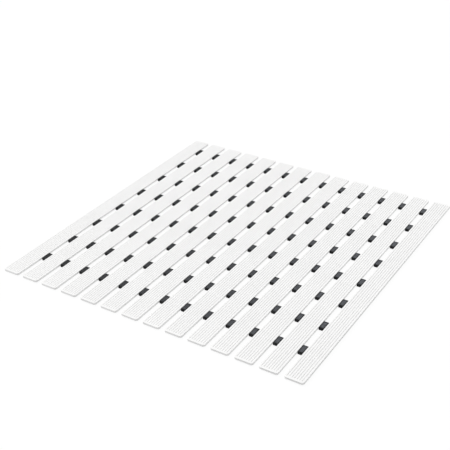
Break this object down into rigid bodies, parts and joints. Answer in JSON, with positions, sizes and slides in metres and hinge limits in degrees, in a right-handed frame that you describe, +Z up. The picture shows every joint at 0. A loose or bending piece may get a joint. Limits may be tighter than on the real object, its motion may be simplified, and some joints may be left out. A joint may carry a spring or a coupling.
{
  "type": "duckboard mat",
  "caption": "Square roll-up duckboard mat of fluted plastic slats joined side by side by rows of small dark hinged links.",
  "frame": {"origin": "on the floor under the centre of the mat's footprint", "axes": "+X across the slats, from slat 1 to slat 14; +Y along the slats, from the end with the wider plain margin; +Z up, out of the tread"},
  "size_m": [0.5338, 0.55, 0.0052],
  "materials": {
    "slat": "white moulded plastic, satin, with a fine moulded grain",
    "link": "dark grey moulded plastic, matt"
  },
  "bodies": {
    "slat_01": {"slat_01": "slat"},
    "slat_02": {"slat_02": "slat"},
    "slat_03": {"slat_03": "slat"},
    "slat_04": {"slat_04": "slat"},
    "slat_05": {"slat_05": "slat"},
    "slat_06": {"slat_06": "slat"},
    "slat_07": {"slat_07": "slat"},
    "slat_08": {"slat_08": "slat"},
    "slat_09": {"slat_09": "slat"},
    "slat_10": {"slat_10": "slat"},
    "slat_11": {"slat_11": "slat"},
    "slat_12": {"slat_12": "slat"},
    "slat_13": {"slat_13": "slat"},
    "slat_14": {"slat_14": "slat"},
    "links_01": {"links_01": "link"},
    "links_02": {"links_02": "link"},
    "links_03": {"links_03": "link"},
    "links_04": {"links_04": "link"},
    "links_05": {"links_05": "link"},
    "links_06": {"links_06": "link"},
    "links_07": {"links_07": "link"},
    "links_08": {"links_08": "link"},
    "links_09": {"links_09": "link"},
    "links_10": {"links_10": "link"},
    "links_11": {"links_11": "link"},
    "links_12": {"links_12": "link"},
    "links_13": {"links_13": "link"}
  },
  "joints": [
    {"name": "hinge_01_left", "type": "hinge", "parent": "slat_01", "child": "links_01", "pos_m": [-0.23858, 0, 0.00315], "axis": [0, -1, 0], "range_deg": [0, 12.5]},
    {"name": "hinge_01_right", "type": "hinge", "parent": "links_01", "child": "slat_02", "pos_m": [-0.22642, 0, 0.00315], "axis": [0, -1, 0], "range_deg": [0, 12.5]},
    {"name": "hinge_02_left", "type": "hinge", "parent": "slat_02", "child": "links_02", "pos_m": [-0.19983, 0, 0.00315], "axis": [0, -1, 0], "range_deg": [0, 12.5]},
    {"name": "hinge_02_right", "type": "hinge", "parent": "links_02", "child": "slat_03", "pos_m": [-0.18768, 0, 0.00315], "axis": [0, -1, 0], "range_deg": [0, 12.5]},
    {"name": "hinge_03_left", "type": "hinge", "parent": "slat_03", "child": "links_03", "pos_m": [-0.16107, 0, 0.00315], "axis": [0, -1, 0], "range_deg": [0, 12.5]},
    {"name": "hinge_03_right", "type": "hinge", "parent": "links_03", "child": "slat_04", "pos_m": [-0.14893, 0, 0.00315], "axis": [0, -1, 0], "range_deg": [0, 12.5]},
    {"name": "hinge_04_left", "type": "hinge", "parent": "slat_04", "child": "links_04", "pos_m": [-0.12233, 0, 0.00315], "axis": [0, -1, 0], "range_deg": [0, 12.5]},
    {"name": "hinge_04_right", "type": "hinge", "parent": "links_04", "child": "slat_05", "pos_m": [-0.11017, 0, 0.00315], "axis": [0, -1, 0], "range_deg": [0, 12.5]},
    {"name": "hinge_05_left", "type": "hinge", "parent": "slat_05", "child": "links_05", "pos_m": [-0.08357, 0, 0.00315], "axis": [0, -1, 0], "range_deg": [0, 12.5]},
    {"name": "hinge_05_right", "type": "hinge", "parent": "links_05", "child": "slat_06", "pos_m": [-0.07143, 0, 0.00315], "axis": [0, -1, 0], "range_deg": [0, 12.5]},
    {"name": "hinge_06_left", "type": "hinge", "parent": "slat_06", "child": "links_06", "pos_m": [-0.04482, 0, 0.00315], "axis": [0, -1, 0], "range_deg": [0, 12.5]},
    {"name": "hinge_06_right", "type": "hinge", "parent": "links_06", "child": "slat_07", "pos_m": [-0.03268, 0, 0.00315], "axis": [0, -1, 0], "range_deg": [0, 12.5]},
    {"name": "hinge_07_left", "type": "hinge", "parent": "slat_07", "child": "links_07", "pos_m": [-0.00607, 0, 0.00315], "axis": [0, -1, 0], "range_deg": [0, 12.5]},
    {"name": "hinge_07_right", "type": "hinge", "parent": "links_07", "child": "slat_08", "pos_m": [0.00607, 0, 0.00315], "axis": [0, -1, 0], "range_deg": [0, 12.5]},
    {"name": "hinge_08_left", "type": "hinge", "parent": "slat_08", "child": "links_08", "pos_m": [0.03268, 0, 0.00315], "axis": [0, -1, 0], "range_deg": [0, 12.5]},
    {"name": "hinge_08_right", "type": "hinge", "parent": "links_08", "child": "slat_09", "pos_m": [0.04482, 0, 0.00315], "axis": [0, -1, 0], "range_deg": [0, 12.5]},
    {"name": "hinge_09_left", "type": "hinge", "parent": "slat_09", "child": "links_09", "pos_m": [0.07143, 0, 0.00315], "axis": [0, -1, 0], "range_deg": [0, 12.5]},
    {"name": "hinge_09_right", "type": "hinge", "parent": "links_09", "child": "slat_10", "pos_m": [0.08357, 0, 0.00315], "axis": [0, -1, 0], "range_deg": [0, 12.5]},
    {"name": "hinge_10_left", "type": "hinge", "parent": "slat_10", "child": "links_10", "pos_m": [0.11017, 0, 0.00315], "axis": [0, -1, 0], "range_deg": [0, 12.5]},
    {"name": "hinge_10_right", "type": "hinge", "parent": "links_10", "child": "slat_11", "pos_m": [0.12233, 0, 0.00315], "axis": [0, -1, 0], "range_deg": [0, 12.5]},
    {"name": "hinge_11_left", "type": "hinge", "parent": "slat_11", "child": "links_11", "pos_m": [0.14893, 0, 0.00315], "axis": [0, -1, 0], "range_deg": [0, 12.5]},
    {"name": "hinge_11_right", "type": "hinge", "parent": "links_11", "child": "slat_12", "pos_m": [0.16107, 0, 0.00315], "axis": [0, -1, 0], "range_deg": [0, 12.5]},
    {"name": "hinge_12_left", "type": "hinge", "parent": "slat_12", "child": "links_12", "pos_m": [0.18768, 0, 0.00315], "axis": [0, -1, 0], "range_deg": [0, 12.5]},
    {"name": "hinge_12_right", "type": "hinge", "parent": "links_12", "child": "slat_13", "pos_m": [0.19983, 0, 0.00315], "axis": [0, -1, 0], "range_deg": [0, 12.5]},
    {"name": "hinge_13_left", "type": "hinge", "parent": "slat_13", "child": "links_13", "pos_m": [0.22642, 0, 0.00315], "axis": [0, -1, 0], "range_deg": [0, 12.5]},
    {"name": "hinge_13_right", "type": "hinge", "parent": "links_13", "child": "slat_14", "pos_m": [0.23858, 0, 0.00315], "axis": [0, -1, 0], "range_deg": [0, 12.5]}
  ]
}
